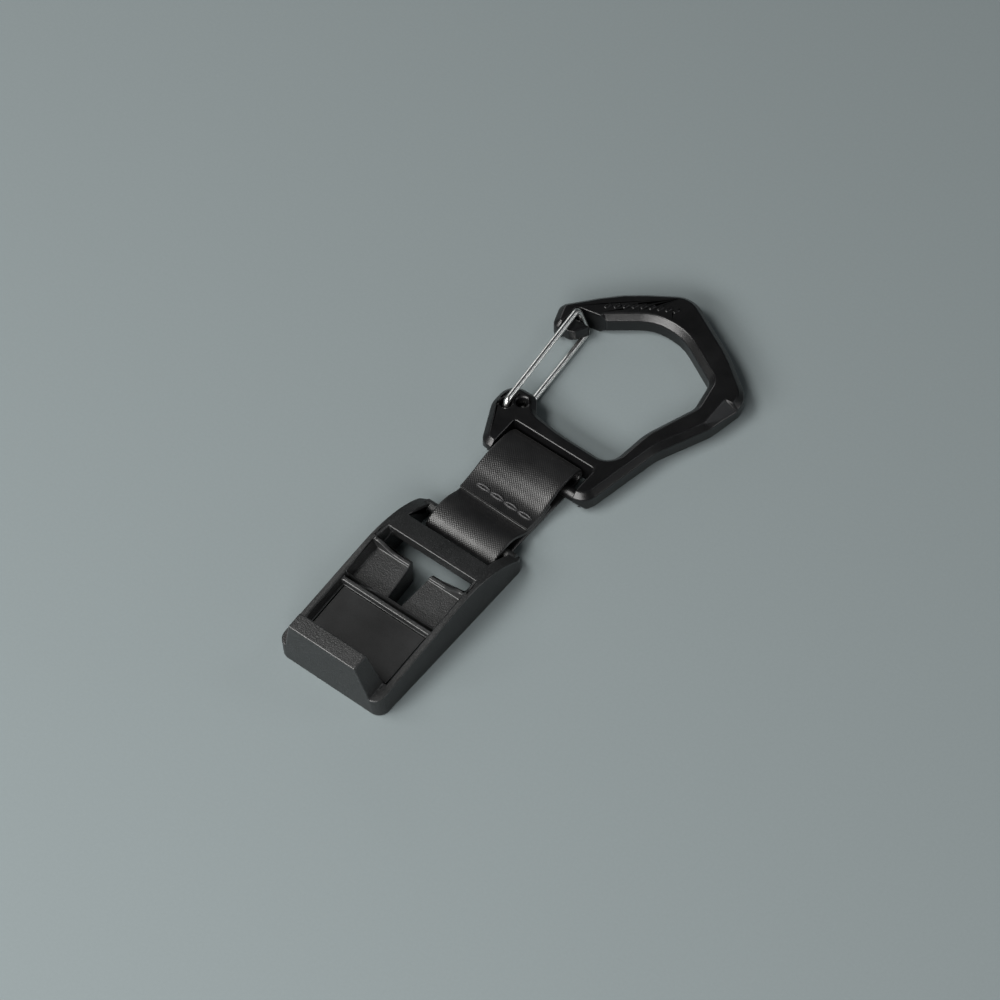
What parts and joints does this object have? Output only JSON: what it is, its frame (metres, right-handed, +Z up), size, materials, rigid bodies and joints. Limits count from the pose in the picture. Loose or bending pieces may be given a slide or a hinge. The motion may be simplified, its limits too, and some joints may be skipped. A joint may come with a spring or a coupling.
{
  "type": "key organiser",
  "caption": "Pocket key organiser: a black moulded magnetic key dock joined by a short sewn webbing strap to a black moulded carabiner with a bent steel wire gate.",
  "frame": {"origin": "centre of the footprint, on the surface that the organiser lies on", "axes": "+Y along the strap from the dock to the carabiner, +X across the strap, +Z up from the surface"},
  "size_m": [0.0515, 0.138, 0.0184],
  "materials": {
    "dock_plastic": "fine grained moulding",
    "panel_plastic": "smooth satin",
    "carabiner_plastic": "satin, lightly grained",
    "webbing": "fine tight weave with a soft sheen",
    "thread": "twisted sewing thread",
    "wire_steel": "drawn and polished wire",
    "magnet_metal": "nickel plate"
  },
  "bodies": {
    "strap": {"webbing_strap": "webbing", "stitch_top_1": "thread", "stitch_top_2": "thread", "stitch_top_3": "thread", "stitch_top_4": "thread", "stitch_under_1": "thread", "stitch_under_2": "thread", "stitch_under_3": "thread", "stitch_under_4": "thread"},
    "dock": {"dock_frame": "dock_plastic", "dock_floor_panel": "panel_plastic", "magnet_left": "magnet_metal", "magnet_right": "magnet_metal"},
    "carabiner": {"carabiner_frame": "carabiner_plastic"},
    "gate": {"wire_gate": "wire_steel"}
  },
  "joints": [
    {"name": "carabiner_swing", "type": "hinge", "parent": "strap", "child": "carabiner", "pos_m": [-0.00153, 0.0074, 0.0027], "axis": [1, 0, 0], "range_deg": [-90, 90]},
    {"name": "dock_swing", "type": "hinge", "parent": "strap", "child": "dock", "pos_m": [-0.00333, -0.0156, 0.00295], "axis": [1, 0, 0], "range_deg": [-90, 90]},
    {"name": "gate_hinge", "type": "hinge", "parent": "carabiner", "child": "gate", "pos_m": [-0.01658, 0.01815, 0.00325], "axis": [0, 0, -1], "range_deg": [0, 28], "stiffness_Nm_per_rad": 0.08, "springref_deg": -8.59}
  ]
}
